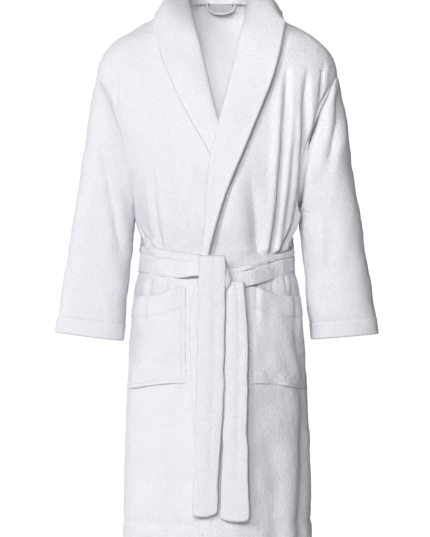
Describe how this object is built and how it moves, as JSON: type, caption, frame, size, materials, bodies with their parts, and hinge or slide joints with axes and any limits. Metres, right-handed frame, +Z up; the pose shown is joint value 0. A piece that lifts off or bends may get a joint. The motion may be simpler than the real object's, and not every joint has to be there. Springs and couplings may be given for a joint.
{
  "type": "bathrobe",
  "caption": "Knee-length terry bathrobe with a shawl collar, long sleeves, patch pockets and a tied belt, hanging as worn.",
  "frame": {"origin": "midway between the shoulders, at the height where they carry the robe", "axes": "+Z up, -Y out of the front, +X towards the wearer's left"},
  "size_m": [0.7064, 0.3616, 1.2426],
  "materials": {
    "terry": "white cotton terry, looped pile on both faces",
    "tape": "white woven cotton tape",
    "label": "blank beige woven label"
  },
  "bodies": {
    "root": {"back_panel": "terry", "left_front_panel": "terry", "right_front_panel": "terry", "left_front_facing": "terry", "right_front_facing": "terry", "left_collar": "terry", "right_collar": "terry", "left_pocket": "terry", "right_pocket": "terry", "left_pocket_band": "terry", "right_pocket_band": "terry", "left_belt_loop": "terry", "right_belt_loop": "terry", "belt": "terry", "belt_knot": "terry", "neck_label": "label"},
    "left_arm": {"left_sleeve": "terry", "left_cuff": "terry"},
    "right_arm": {"right_sleeve": "terry", "right_cuff": "terry"},
    "belt_end_front": {"belt_front_end": "terry"},
    "belt_end_rear": {"belt_rear_end": "terry"},
    "loop": {"hanging_loop": "tape"}
  },
  "joints": [
    {"name": "left_sleeve_swing", "type": "hinge", "parent": "root", "child": "left_arm", "pos_m": [0.24, 0, -0.124], "axis": [0, -1, 0], "range_deg": [0, 30]},
    {"name": "right_sleeve_swing", "type": "hinge", "parent": "root", "child": "right_arm", "pos_m": [-0.24, 0, -0.124], "axis": [0, 1, 0], "range_deg": [0, 30]},
    {"name": "front_end_swing", "type": "hinge", "parent": "root", "child": "belt_end_front", "pos_m": [-0.015, -0.163, -0.592], "axis": [-1, 0, 0], "range_deg": [0, 75]},
    {"name": "rear_end_swing", "type": "hinge", "parent": "root", "child": "belt_end_rear", "pos_m": [0.039, -0.163, -0.592], "axis": [-1, 0, 0], "range_deg": [0, 75]},
    {"name": "hanging_loop_flip", "type": "hinge", "parent": "root", "child": "loop", "pos_m": [0.009, 0.055, 0.042], "axis": [-1, 0, 0], "range_deg": [0, 150]}
  ]
}
